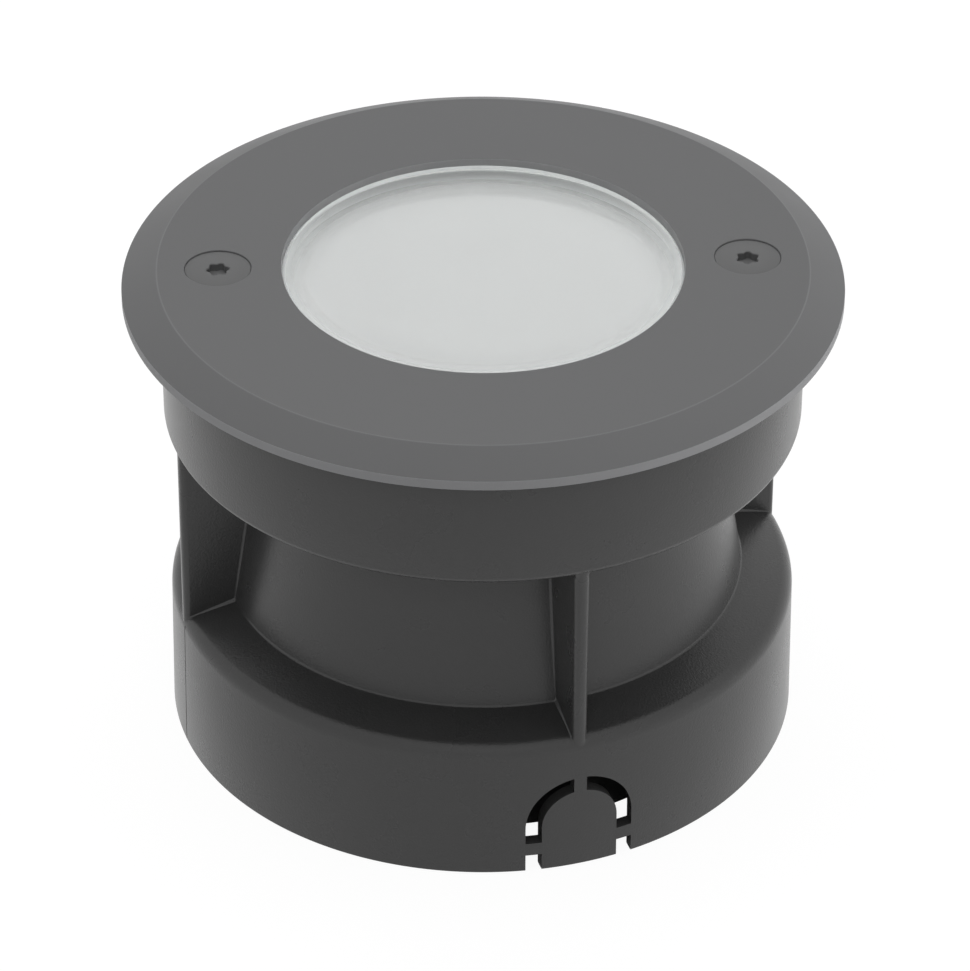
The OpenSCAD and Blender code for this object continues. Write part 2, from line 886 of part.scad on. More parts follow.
// Sealing washer between the gland's hexagon and the housing
module gland_washer() {
    color("#202020")
        tube(gland_r, gland_af / 2, cup_z - gland_washer_t, cup_z);
}

// Rubber bush that the nut squeezes round the cable
module gland_seal() {
    color("#202020")
        tube(cable_d / 2, seal_d / 2, tail_z, seal_top_z);
}

// Slip ring that lies in the nut and turns the squeeze into a straight push
module gland_slip_ring() {
    color("ivory")
        tube(nut_mouth_r, gland_r - 2 * body_gap, slip_z, slip_z + slip_t);
}

// Domed clamping nut
module gland_nut() {
    color("#3c3d3e")
        translate([0, 0, nut_z])
            difference() {
                intersection() {
                    cylinder(d = gland_af / cos(30), h = gland_nut_l, $fn = 6);
                    cylinder(r1 = gland_r, r2 = gland_r + gland_nut_l, h = gland_nut_l);
                }
                translate([0, 0, -over])
                    cylinder(r = nut_mouth_r, h = gland_nut_l);
                translate([0, 0, nut_shoulder])
                    cylinder(r = gland_r + thread_gap, h = gland_nut_l);
            }
}

mounting_sleeve();
thread_inserts();
trim_ring();
cover_screw_left();
cover_screw_right();
screw_seal_left();
screw_seal_right();
glass_lens();
lens_gasket_top();
lens_gasket_seat();
opal_diffuser();
reflector();
lamp_housing();
heat_plate();
plate_screws();
led_board();
led_chips();
board_screws();
driver_case();
driver_screws();
terminal_block();
terminal_screws();
supply_leads();
led_leads();
earth_lug();
earth_screw();
gland_body();
gland_washer();
gland_seal();
gland_slip_ring();
gland_nut();
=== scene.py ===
import math

import bpy
import numpy as np
from mathutils import Matrix, Vector


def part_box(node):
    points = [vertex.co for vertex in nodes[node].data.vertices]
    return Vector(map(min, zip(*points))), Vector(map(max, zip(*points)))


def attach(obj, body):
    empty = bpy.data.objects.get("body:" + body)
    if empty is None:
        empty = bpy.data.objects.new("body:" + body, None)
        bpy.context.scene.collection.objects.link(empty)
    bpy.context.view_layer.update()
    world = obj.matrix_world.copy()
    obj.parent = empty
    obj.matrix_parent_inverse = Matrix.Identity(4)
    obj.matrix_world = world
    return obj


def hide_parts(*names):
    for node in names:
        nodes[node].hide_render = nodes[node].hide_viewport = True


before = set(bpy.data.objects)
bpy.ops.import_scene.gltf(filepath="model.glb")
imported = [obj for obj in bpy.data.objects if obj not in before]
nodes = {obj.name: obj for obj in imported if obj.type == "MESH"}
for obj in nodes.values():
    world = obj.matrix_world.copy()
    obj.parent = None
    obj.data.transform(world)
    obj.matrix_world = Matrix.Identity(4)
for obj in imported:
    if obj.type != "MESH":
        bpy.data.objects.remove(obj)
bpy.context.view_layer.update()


# Camera
# A long lens looks down on the light from the front. Its place and turn come from the ellipses of the
# ring, the lens, the collar and the skirt in the photograph.
mm = 0.001
camera_distance = 765 * mm
camera_height_angle = math.radians(36.924)
camera_side_angle = math.radians(-2.8)
camera_pan = math.radians(-0.031)
camera_tilt = math.radians(2.33)
camera_roll = math.radians(-0.227)
focal_pixels = 4736.2
picture_pixels = 971
film_width = 36

camera_data = bpy.data.cameras.new("photo_camera")
camera_data.sensor_width = film_width
camera_data.lens = focal_pixels * film_width / picture_pixels
camera = bpy.data.objects.new("photo_camera", camera_data)
bpy.context.scene.collection.objects.link(camera)
aim = Matrix.Rotation(camera_side_angle, 4, "Z") @ Matrix.Rotation(math.pi / 2 - camera_height_angle, 4, "X")
back_off = Matrix.Translation((0, 0, camera_distance))
pan = Matrix.Rotation(camera_pan, 4, "Y")
tilt = Matrix.Rotation(camera_tilt, 4, "X")
roll = Matrix.Rotation(-camera_roll, 4, "Z")
camera.matrix_world = aim @ back_off @ pan @ tilt @ roll
bpy.context.scene.camera = camera
bpy.context.scene.view_settings.view_transform = "Standard"


# Light and floor
# Soft lights stand at both sides and in front, and a large one hangs over the back, above a white floor.
# The floor and the surroundings show white to the eye and in reflections, and the floor keeps the shadow.
def calc(tree, operation, *values):
    """Output of a maths node that is given plain numbers and other nodes' outputs in turn."""
    node = tree.nodes.new("ShaderNodeMath")
    node.operation = operation
    for socket, value in zip(node.inputs, values):
        if isinstance(value, (int, float)):
            socket.default_value = value
        else:
            tree.links.new(value, socket)
    return node.outputs[0]


def axis_distance(tree):
    """Output with the distance from the upright axis that the round pieces share: the length of (x, y, 0)."""
    place = tree.nodes.new("ShaderNodeTexCoord")
    level = tree.nodes.new("ShaderNodeVectorMath")
    level.operation = "MULTIPLY"
    level.inputs[1].default_value = (1, 1, 0)
    reach = tree.nodes.new("ShaderNodeVectorMath")
    reach.operation = "LENGTH"
    tree.links.new(place.outputs["Object"], level.inputs[0])
    tree.links.new(level.outputs[0], reach.inputs[0])
    return reach.outputs["Value"]


def mixed(tree, share, first, second):
    """Output of a mix of two shaders, where share is the part that the second one takes."""
    mix = tree.nodes.new("ShaderNodeMixShader")
    if isinstance(share, float):
        mix.inputs[0].default_value = share
    else:
        tree.links.new(share, mix.inputs[0])
    tree.links.new(first, mix.inputs[1])
    tree.links.new(second, mix.inputs[2])
    return mix.outputs[0]


def white_for_views(tree, plain, white, foot_radius=0.0):
    """Shader that is plain for diffuse light and white for what is seen straight, in gloss or through glass.
    In gloss it stays plain within the foot radius of the axis, where the object stands."""
    path = tree.nodes.new("ShaderNodeLightPath")
    outside = calc(tree, "GREATER_THAN", axis_distance(tree), foot_radius)
    in_gloss = calc(tree, "MULTIPLY", path.outputs["Is Glossy Ray"], outside)
    seen = calc(tree, "MAXIMUM", path.outputs["Is Camera Ray"], in_gloss)
    seen = calc(tree, "MAXIMUM", seen, path.outputs["Is Transmission Ray"])
    return mixed(tree, seen, plain, white)


air_strength = 0.05
floor_reach = 3.0
floor_colour = (0.75, 0.75, 0.75, 1)
floor_glow = 1.1
glow_share = 0.85
sleeve_foot = 49 * mm

world = bpy.data.worlds.new("studio")
world.use_nodes = True
bpy.context.scene.world = world
tree = world.node_tree
soft_grey = tree.nodes["Background"]
soft_grey.inputs["Color"].default_value = (1, 1, 1, 1)
soft_grey.inputs["Strength"].default_value = air_strength
white_air = tree.nodes.new("ShaderNodeBackground")
white_air.inputs["Color"].default_value = (1, 1, 1, 1)
seen_air = white_for_views(tree, soft_grey.outputs[0], white_air.outputs[0])
tree.links.new(seen_air, tree.nodes["World Output"].inputs["Surface"])

floor_mesh = bpy.data.meshes.new("floor")
corners = [(x * floor_reach, y * floor_reach, 0) for x, y in ((-1, -1), (1, -1), (1, 1), (-1, 1))]
floor_mesh.from_pydata(corners, [], [(0, 1, 2, 3)])
floor = bpy.data.objects.new("floor", floor_mesh)
bpy.context.scene.collection.objects.link(floor)
floor_paint = bpy.data.materials.new("white_floor")
floor_paint.use_nodes = True
tree = floor_paint.node_tree
matt = tree.nodes["Principled BSDF"]
matt.inputs["Base Color"].default_value = floor_colour
matt.inputs["Roughness"].default_value = 1
matt.inputs["Specular IOR Level"].default_value = 0
glow = tree.nodes.new("ShaderNodeEmission")
glow.inputs["Strength"].default_value = floor_glow
shaded = mixed(tree, glow_share, matt.outputs[0], glow.outputs[0])
seen_floor = white_for_views(tree, matt.outputs[0], shaded, sleeve_foot)
tree.links.new(seen_floor, tree.nodes["Material Output"].inputs["Surface"])
floor_mesh.materials.append(floor_paint)


def soft_light(name, place, width, height, watts):
    """Area light at a place, aimed at the foot of the object's axis and not itself seen in gloss or glass."""
    data = bpy.data.lights.new(name, "AREA")
    data.shape = "RECTANGLE"
    data.size = width
    data.size_y = height
    data.energy = watts
    lamp = bpy.data.objects.new(name, data)
    lamp.visible_glossy = False
    lamp.visible_transmission = False
    bpy.context.scene.collection.objects.link(lamp)
    turn = Vector(place).to_track_quat("Z", "Y").to_matrix().to_4x4()
    lamp.matrix_world = Matrix.Translation(place) @ turn


soft_light("left_light", (-1.0, -0.05, 0.35), width=0.8, height=0.5, watts=1.3)
soft_light("right_light", (1.0, -0.1, 0.1), width=0.8, height=0.2, watts=4.4)
soft_light("front_light", (0.0, -1.0, 0.9), width=0.8, height=0.5, watts=3.2)
soft_light("top_light", (0.0, 0.3, 1.3), width=1.6, height=1.6, watts=15)


# Surface finish of all moulded, cast and turned pieces
# Each is a skin with fine grain and cloudy colour, worked out from the object's own coordinates.
cloud_detail = 4
grain_detail = 3
noise_middle = 0.5


def grain_group():
    """Group of two noises: a coarse one clouds colour and gloss, and a fine one is the grain's height."""
    group = bpy.data.node_groups.new("surface_grain", "ShaderNodeTree")
    numbers_in = ("Cloud Size", "Clouds", "Grain Size", "Gloss", "Gloss Clouds")
    for side, numbers in (("INPUT", numbers_in), ("OUTPUT", ("Roughness", "Height"))):
        group.interface.new_socket("Colour", in_out=side, socket_type="NodeSocketColor")
        for name in numbers:
            group.interface.new_socket(name, in_out=side, socket_type="NodeSocketFloat")
    link = group.links.new
    given = group.nodes.new("NodeGroupInput").outputs
    result = group.nodes.new("NodeGroupOutput").inputs
    place = group.nodes.new("ShaderNodeTexCoord")

    def noise(size, detail):
        node = group.nodes.new("ShaderNodeTexNoise")
        node.inputs["Detail"].default_value = detail
        link(place.outputs["Object"], node.inputs["Vector"])
        link(calc(group, "DIVIDE", 1.0, size), node.inputs["Scale"])
        return node.outputs["Fac"]

    swing = calc(group, "SUBTRACT", noise(given["Cloud Size"], cloud_detail), noise_middle)
    bright = calc(group, "MULTIPLY_ADD", swing, given["Clouds"], 1.0)
    tint = group.nodes.new("ShaderNodeVectorMath")
    tint.operation = "SCALE"
    link(given["Colour"], tint.inputs[0])
    link(bright, tint.inputs["Scale"])
    link(tint.outputs[0], result["Colour"])
    link(calc(group, "MULTIPLY_ADD", swing, given["Gloss Clouds"], given["Gloss"]), result["Roughness"])
    link(noise(given["Grain Size"], grain_detail), result["Height"])
    return group


surface_grain = grain_group()


def finish(
    name,
    colour,
    roughness,
    grain,
    depth,
    clouds=0.12,
    cloud_size=9 * mm,
    gloss_clouds=0.15,
    metallic=0.0,
    shine=0.5,
):
    """Principled material whose colour, roughness and bumps come from the surface_grain group. Grain and
    depth are the width and height of the bumps, and clouds and gloss_clouds the swing of colour and
    roughness. A shine of one half mirrors as plain plastic does."""
    material = bpy.data.materials.new(name)
    material.use_nodes = True
    tree = material.node_tree
    shader = tree.nodes["Principled BSDF"]
    group = tree.nodes.new("ShaderNodeGroup")
    group.node_tree = surface_grain
    group.inputs["Colour"].default_value = (*colour, 1)
    group.inputs["Cloud Size"].default_value = cloud_size
    group.inputs["Clouds"].default_value = clouds
    group.inputs["Grain Size"].default_value = grain
    group.inputs["Gloss"].default_value = roughness
    group.inputs["Gloss Clouds"].default_value = gloss_clouds
    bump = tree.nodes.new("ShaderNodeBump")
    bump.inputs["Distance"].default_value = depth
    tree.links.new(group.outputs["Colour"], shader.inputs["Base Color"])
    tree.links.new(group.outputs["Roughness"], shader.inputs["Roughness"])
    tree.links.new(group.outputs["Height"], bump.inputs["Height"])
    tree.links.new(bump.outputs["Normal"], shader.inputs["Normal"])
    shader.inputs["Metallic"].default_value = metallic
    shader.inputs["Specular IOR Level"].default_value = shine
    return material


def dress(piece, material):
    """Give a piece this one material."""
    piece.data.materials.clear()
    piece.data.materials.append(material)


# Mounting sleeve
# One moulding in dark grey plastic: collar, waist with four upright webs, ledge, skirt and inner tube.
# Its outline is turned round the axis, then the webs, bosses and gussets are joined on and the slots cut.
round_steps = 6
turn_steps = 360
sharp_angle = math.radians(35)
flat_share = 0.9999


def softened(outline, radii):
    """Closed outline with each corner replaced by an arc of its radius. The arc's ends lie the radius over
    tan h from the corner, and its centre the radius over sin h, where h is half the corner's angle."""
    p = np.asarray(outline, float)
    r = np.broadcast_to(np.asarray(radii, float), (len(p),))[:, None]
    to_last = np.roll(p, 1, 0) - p
    to_next = np.roll(p, -1, 0) - p
    to_last /= np.linalg.norm(to_last, axis=1, keepdims=True)
    to_next /= np.linalg.norm(to_next, axis=1, keepdims=True)
    half = np.arccos(np.clip((to_last * to_next).sum(1, keepdims=True), -1, 1)) / 2
    middle = to_last + to_next
    middle /= np.linalg.norm(middle, axis=1, keepdims=True)
    centre = p + middle * r / np.sin(half)
    start = p + to_last * r / np.tan(half) - centre
    end = p + to_next * r / np.tan(half) - centre
    t = np.linspace(0, 1, round_steps + 1)[None, :, None]
    turn = math.pi - 2 * half[:, None]
    arc = (start[:, None] * np.sin((1 - t) * turn) + end[:, None] * np.sin(t * turn)) / np.sin(turn)
    return (centre[:, None] + arc).reshape(-1, 2)


def mesh_piece(name, points, faces):
    """Object at the origin from points in metres, shaded smooth but where faces meet past the sharp angle."""
    mesh = bpy.data.meshes.new(name)
    mesh.from_pydata(np.asarray(points).tolist(), [], faces)
    mesh.update()
    mesh.shade_smooth()
    mesh.set_sharp_from_angle(angle=sharp_angle)
    piece = bpy.data.objects.new(name, mesh)
    bpy.context.scene.collection.objects.link(piece)
    return piece


def grid_faces(rows, columns, around=True, closed=True):
    """Quads of a grid of points. Around joins the last row to the first, and closed the last column."""
    i, j = np.meshgrid(np.arange(rows - (not around)), np.arange(columns - (not closed)), indexing="ij")
    i2, j2 = (i + 1) % rows, (j + 1) % columns
    quads = np.stack([i * columns + j, i2 * columns + j, i2 * columns + j2, i * columns + j2], -1)
    return quads.reshape(-1, 4).tolist()


def turned(name, outline, x=0.0, count=turn_steps, hollow=True):
    """Outline of radius r and height z, given anticlockwise, turned round an upright axis at x:
    its points at the angle a are (x + r cos a, r sin a, z)."""
    a = np.linspace(0, 2 * math.pi, count, endpoint=False)[:, None]
    r, z = outline[:, 0][None], outline[:, 1][None]
    points = np.stack([x + r * np.cos(a), r * np.sin(a), z + 0 * a], -1)
    return around_axis(name, points, x, hollow)


def around_axis(name, points, x, hollow):
    """Mesh of a grid of angles and levels that closes round the axis. If it is hollow, its last level joins
    the first. Otherwise it runs from foot to top, with a point on the axis at both ends."""
    count, levels = points.shape[:2]
    faces = grid_faces(count, levels, closed=hollow)
    points = points.reshape(-1, 3)
    if not hollow:
        foot, top = len(points), len(points) + 1
        points = np.concatenate([points, [(x, 0, points[0, 2]), (x, 0, points[-1, 2])]])
        i = np.arange(count) * levels
        last = np.roll(i, -1)
        faces += np.stack([last, i, np.full(count, foot)], 1).tolist()
        faces += np.stack([i + levels - 1, last + levels - 1, np.full(count, top)], 1).tolist()
    return mesh_piece(name, points, faces)


def slab(name, outline, near, far, turn):
    """Closed outline of side and height, given anticlockwise, carried from near to far along the level
    direction (cos turn, sin turn)."""
    n = len(outline)
    out = np.array([math.cos(turn), math.sin(turn)])
    across = np.array([-out[1], out[0]])
    rows = [np.concatenate([d * out + outline[:, :1] * across, outline[:, 1:]], 1) for d in (near, far)]
    i = np.arange(n)
    sides = np.stack([i, (i + 1) % n, (i + 1) % n + n, i + n], 1).tolist()
    return mesh_piece(name, np.concatenate(rows), sides + [i[::-1].tolist(), (i + n).tolist()])


def combine(piece, others, operation):
    """Join the other closed pieces onto a piece, or cut them out of it, and keep the result as its mesh.
    Level faces are shaded flat, so that the roundings beside them don't bend their shading."""
    for other in others:
        step = piece.modifiers.new("combine", "BOOLEAN")
        step.operation = operation
        step.solver = "EXACT"
        step.object = other
    bpy.context.view_layer.update()
    whole = piece.evaluated_get(bpy.context.evaluated_depsgraph_get())
    made = bpy.data.meshes.new_from_object(whole)
    piece.modifiers.clear()
    piece.data = made
    made.shade_smooth()
    made.set_sharp_from_angle(angle=sharp_angle)
    for face in made.polygons:
        face.use_smooth = abs(face.normal.z) < flat_share
    for other in others:
        bpy.data.objects.remove(other)


sleeve_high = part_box("mounting_sleeve")[1]
skirt_radius = sleeve_high.x
sleeve_top = sleeve_high.z
collar_radius = 49.3 * mm
collar_foot = 54 * mm
collar_wall = 2.2 * mm
shelf_thickness = 2 * mm
neck_top_radius = 36.1 * mm
neck_foot_radius = 40.9 * mm
neck_wall = 2 * mm
ledge_height = 25.3 * mm
ledge_fall = 2 * mm
ledge_thickness = 2 * mm
skirt_top_radius = 49.1 * mm
skirt_wall = 2 * mm
skirt_rounding = 2.4 * mm
tube_radius = 40 * mm
tube_lift = 1.5 * mm
edge_rounding = 0.25 * mm
fillet = 0.45 * mm
web_rounding = 1.0 * mm
collar_rounding = 1.2 * mm
ledge_edge = ledge_height - ledge_fall
under_ledge = ledge_height - ledge_thickness

# Radius, height and rounding of each corner, from the collar's rim inwards and down, then up the outside.
sleeve_corners = [
    (collar_radius, sleeve_top, edge_rounding),
    (collar_radius - collar_wall, sleeve_top, edge_rounding),
    (collar_radius - collar_wall, collar_foot + shelf_thickness, fillet),
    (neck_top_radius - neck_wall, collar_foot + shelf_thickness, edge_rounding),
    (neck_top_radius - neck_wall, collar_foot, edge_rounding),
    (tube_radius - neck_wall, under_ledge, edge_rounding),
    (tube_radius - neck_wall, tube_lift, edge_rounding),
    (tube_radius, tube_lift, edge_rounding),
    (tube_radius, under_ledge, fillet),
    (skirt_top_radius - skirt_wall, ledge_edge - ledge_thickness, fillet),
    (skirt_radius - skirt_wall, 0, edge_rounding),
    (skirt_radius, 0, edge_rounding),
    (skirt_top_radius, ledge_edge, skirt_rounding),
    (neck_foot_radius, ledge_height, fillet),
    (neck_top_radius, collar_foot, fillet),
    (collar_radius, collar_foot, collar_rounding),
]
sleeve_corners = np.array(sleeve_corners)
sleeve = turned("sleeve_moulding", softened(sleeve_corners[:, :2], sleeve_corners[:, 2]))

web_thickness = 2.35 * mm
web_turn = math.radians(15)
web_sink = 0.8 * mm
web_inset = 0.15 * mm
web_foot_radius = skirt_top_radius - web_inset
web_top_radius = 48.8 * mm
web_levels = 40
web_count = 4


def web(name, turn):
    """Upright plate from neck to rim. Its half width is half the thickness plus what a fillet's arc adds near
    the neck, the ledge and the collar. Its levels follow half a cosine wave, so they crowd at both ends."""
    t = (1 - np.cos(np.linspace(0, math.pi, web_levels))) / 2
    t = t[:, None]
    neck = neck_foot_radius + (neck_top_radius - neck_foot_radius) * t
    rim = web_foot_radius + (web_top_radius - web_foot_radius) * t
    quarter = np.linspace(0, math.pi / 2, round_steps)[None]
    half = web_thickness / 2
    root_x = neck + fillet * (1 - np.cos(quarter))
    root_y = half + fillet * (1 - np.sin(quarter)) + 0 * neck
    tip_x = rim - web_rounding * (1 - np.sin(quarter))
    tip_y = half - web_rounding * (1 - np.cos(quarter)) + 0 * rim
    x = np.concatenate([neck - web_sink, root_x, tip_x], 1)
    y = np.concatenate([half + fillet + 0 * neck, root_y, tip_y], 1)
    past = np.clip((x - (skirt_top_radius - skirt_rounding)) / skirt_rounding, 0, 1)
    outwards = np.clip((x - neck_foot_radius) / (skirt_top_radius - neck_foot_radius), 0, 1)
    ledge = ledge_height + (ledge_edge - ledge_height) * outwards
    ledge = ledge - skirt_rounding * (1 - np.sqrt(1 - past**2))
    low, high = ledge - web_sink, collar_foot + web_sink
    z = low + (high - low) * t
    near = np.clip(np.minimum(z - ledge, collar_foot - z), 0, fillet)
    y = y + fillet - np.sqrt(fillet**2 - (fillet - near) ** 2)
    x, y, z = (np.concatenate([part, sign * part[:, ::-1]], 1) for part, sign in ((x, 1), (y, -1), (z, 1)))
    out = np.array([math.cos(turn), math.sin(turn)])
    points = np.stack([x * out[0] - y * out[1], x * out[1] + y * out[0], z], -1)
    columns = points.shape[1]
    faces = grid_faces(web_levels, columns, around=False)
    last = (web_levels - 1) * columns
    faces += [list(range(columns)), [last + i for i in range(columns)][::-1]]
    return mesh_piece(name, points.reshape(-1, 3), faces)


screw_span = 80.6 * mm
screw_hole = 2.75 * mm
boss_radius = 5.2 * mm
boss_top = 66.2 * mm
boss_steps = 64
insert_radius = 3.4 * mm
insert_depth = 8 * mm
insert_foot = boss_top - insert_depth
shelf_middle = collar_foot + shelf_thickness / 2
screw_places = (-screw_span / 2, screw_span / 2)
boss_outline = np.array(
    [
        (screw_hole, shelf_middle),
        (boss_radius, shelf_middle),
        (boss_radius, boss_top),
        (insert_radius, boss_top),
        (insert_radius, insert_foot),
        (screw_hole, insert_foot),
    ]
)
gusset_thickness = 1.6 * mm
gusset_foot = 8 * mm
gusset_lean_share = 0.7
gusset_in = tube_radius - neck_wall / 2
gusset_out = skirt_top_radius - skirt_wall / 2
gusset_outline = np.array(
    [
        (-gusset_in, gusset_foot),
        (-gusset_in, ledge_height - ledge_thickness / 2),
        (-gusset_out, ledge_edge - ledge_thickness / 2),
        (-gusset_out - gusset_lean_share * (skirt_radius - skirt_top_radius), gusset_foot),
    ]
)

additions = [web("web", web_turn + 2 * math.pi * i / web_count) for i in range(web_count)]
additions += [turned("boss", boss_outline, x, boss_steps) for x in screw_places]
for side_turn in (web_turn, web_turn + math.pi):
    half = gusset_thickness / 2
    additions.append(slab("gusset", gusset_outline, -half, half, side_turn + math.pi / 2))
combine(sleeve, additions, "UNION")

knockout_width = 17 * mm
knockout_gap = 2.5 * mm
knockout_rise = 8 * mm
bridge_lift = 3 * mm
bridge_height = 2.2 * mm
tab_width = 2 * mm
arc_points = 24
slot_reach = (tube_radius + neck_wall, collar_radius + neck_wall)
tongue_width = knockout_width - 2 * knockout_gap


def arc(radius, start, end):
    """Points on a circle round the middle of the arch: (r cos a, rise + r sin a)."""
    a = np.linspace(start, end, arc_points)
    return np.stack([radius * np.cos(a), knockout_rise + radius * np.sin(a)], 1)


def slot_outlines():
    """The curved slot over one side of the tongue, between its bridges, and the notch under the bridge."""
    outer, inner = knockout_width / 2, tongue_width / 2
    tab = tab_width / 2
    bridge_top = bridge_lift + bridge_height
    over = arc(outer, math.acos(-tab / outer), math.pi)
    under = arc(inner, math.pi, math.acos(-tab / inner))
    curved = np.concatenate([over, [(-outer, bridge_top), (-inner, bridge_top)], under])
    corners = [(-outer, -bridge_lift), (-inner, -bridge_lift), (-inner, bridge_lift), (-outer, bridge_lift)]
    return curved, np.array(corners)


cutters = []
for side_turn in (web_turn + math.pi / 2, web_turn - math.pi / 2):
    for outline in slot_outlines():
        mirrored = outline[::-1] * (-1, 1)
        cutters += [slab("slot", shape, *slot_reach, side_turn) for shape in (outline, mirrored)]

# The mould's parting shows as a fine groove down the skirt, beside two of the webs.
parting_turn = math.radians(16.6)
parting_half = 0.13 * mm
parting_cut = 0.12 * mm
parting_reach = (skirt_top_radius - parting_cut, skirt_radius + mm)
corners = [(-parting_half, -mm), (parting_half, -mm), (parting_half, ledge_edge), (-parting_half, ledge_edge)]
for side in (0, math.pi):
    cutters.append(slab("parting", np.array(corners), *parting_reach, parting_turn + side))
combine(sleeve, cutters, "DIFFERENCE")
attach(sleeve, "sleeve")
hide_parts("mounting_sleeve")
sleeve_plastic = finish(
    "sleeve_plastic",
    (0.046, 0.046, 0.046),
    roughness=0.28,
    grain=0.35 * mm,
    depth=0.04 * mm,
    clouds=0.06,
    gloss_clouds=0.06,
    shine=0.43,
)
dress(sleeve, sleeve_plastic)


# Thread inserts
# Two brass bushes moulded into the bosses, which take the cover screws.
insert_brass = finish(
    "insert_brass", (0.62, 0.47, 0.2), roughness=0.35, grain=0.2 * mm, depth=0.01 * mm, metallic=1.0
)
dress(nodes["thread_inserts"], insert_brass)


# Trim ring
# Die-cast aluminium, turned with softened edges round an upright opening, and cut with two flared
# countersinks. Its coating is anthracite, with painted light: the rim and the opening's wall are painted
# lighter, and a painted highlight line runs where the slope begins.
ring_low, ring_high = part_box("trim_ring")
ring_radius = ring_high.x
ring_foot = ring_low.z
ring_top = ring_high.z
ring_lip = 1.5 * mm
ring_flat_radius = 49.6 * mm
opening_radius = 30.65 * mm
lip_foot = 76.1 * mm
pocket_radius = 34.9 * mm
coat_rounding = 0.12 * mm
ring_outline = np.array(
    [
        (ring_radius, ring_foot),
        (ring_radius, ring_foot + ring_lip),
        (ring_flat_radius, ring_top),
        (opening_radius, ring_top),
        (opening_radius, lip_foot),
        (pocket_radius, lip_foot),
        (pocket_radius, ring_foot),
    ]
)
ring = turned("trim_ring_casting", softened(ring_outline, coat_rounding))

head_radius = 5 * mm
head_gap = 0.1 * mm
head_land = 0.3 * mm
seal_pocket_radius = 3.45 * mm
seal_pocket_foot = 75.44 * mm
sink_steps = 96
flare_bow = 0.3 * coat_rounding
flare_rise = 0.01 * coat_rounding
mouth = head_radius + head_gap
cone_foot = ring_top - head_land - (mouth - seal_pocket_radius)
sink_outline = np.array(
    [
        (screw_hole, ring_foot - mm),
        (screw_hole, seal_pocket_foot),
        (seal_pocket_radius, seal_pocket_foot),
        (seal_pocket_radius, cone_foot),
        (mouth, ring_top - head_land),
        (mouth, ring_top - coat_rounding),
        (mouth + flare_bow, ring_top - flare_bow),
        (mouth + coat_rounding, ring_top + flare_rise),
        (mouth + coat_rounding, ring_top + mm),
    ]
)
sinks = [turned("countersink", sink_outline, x, sink_steps, hollow=False) for x in screw_places]
combine(ring, sinks, "DIFFERENCE")
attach(ring, "trim")
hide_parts("trim_ring")
coating_grey = (0.157, 0.158, 0.16)
# Painted light: the outer rim and the opening's wall take a lighter grey, which stands in for light falling
# on them.
painted_light_grey = (0.31, 0.311, 0.318)
painted_edge_width = 0.05 * mm
highlight_line_half = 0.12 * mm
highlight_line_share = -0.25
trim_coating = finish(
    "trim_coating", coating_grey, roughness=0.5, grain=0.25 * mm, depth=0.012 * mm, clouds=0.05, shine=0.16
)
flat_middle = (ring_radius + opening_radius) / 2
flat_reach = (ring_radius - opening_radius) / 2 - painted_edge_width
tree = trim_coating.node_tree
reach = axis_distance(tree)
inside = calc(tree, "COMPARE", reach, flat_middle, flat_reach)
# Painted highlight: a thin lighter line runs round the ring where the flat meets the slope.
on_highlight_line = calc(tree, "COMPARE", reach, ring_flat_radius, highlight_line_half)
plain_share = calc(tree, "MULTIPLY_ADD", on_highlight_line, highlight_line_share, inside)
painted_light_mix = tree.nodes.new("ShaderNodeMix")
painted_light_mix.data_type = "RGBA"
painted_light_mix.inputs["A"].default_value = (*painted_light_grey, 1)
painted_light_mix.inputs["B"].default_value = (*coating_grey, 1)
grain = next(node for node in tree.nodes if node.type == "GROUP")
tree.links.new(plain_share, painted_light_mix.inputs["Factor"])
tree.links.new(painted_light_mix.outputs["Result"], grain.inputs["Colour"])
dress(ring, trim_coating)


# Cover screws
# Countersunk M5 stainless screws, darkened like the ring, with a rolled thread and a six-lobe recess. One
# grid of angles and levels runs from the foot up the thread, over the head and down into the recess.
screw_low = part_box("cover_screw_left")[0]
shank_radius = 2.45 * mm
screw_foot = screw_low.z
thread_pitch = 0.8 * mm
thread_depth = 0.42 * mm
thread_top = 69 * mm
thread_slope = 1.25
thread_crest = 0.12
head_sink = 0.2 * mm
head_top = ring_top - head_sink
head_edge = 0.1 * mm
head_bow = 0.03 * mm
land_gap = 0.05 * mm
drive_radius = 1.8 * mm
drive_depth = 1.2 * mm
lobe_count = 6
lobe_share = 0.11
screw_angles = 120
levels_per_turn = 10
# Radius and height of the head from the shank up: cone, land and a softened edge.
head_profile = np.array(
    [
        (shank_radius, ring_top - head_land - (head_radius - shank_radius)),
        (head_radius, ring_top - head_land - land_gap),
        (head_radius, head_top - head_edge),
        (head_radius - head_bow, head_top - head_bow),
        (head_radius - head_edge, head_top),
    ]
)
# Share of the recess's radius, and depth below the head's top, from its mouth down to its floor.
drive_profile = np.array(
    [
        (1.08, 0),
        (1.0, 0.12 * mm),
        (0.98, drive_depth),
        (0.5, drive_depth + 0.2 * mm),
        (0.1, drive_depth + 0.3 * mm),
    ]
)


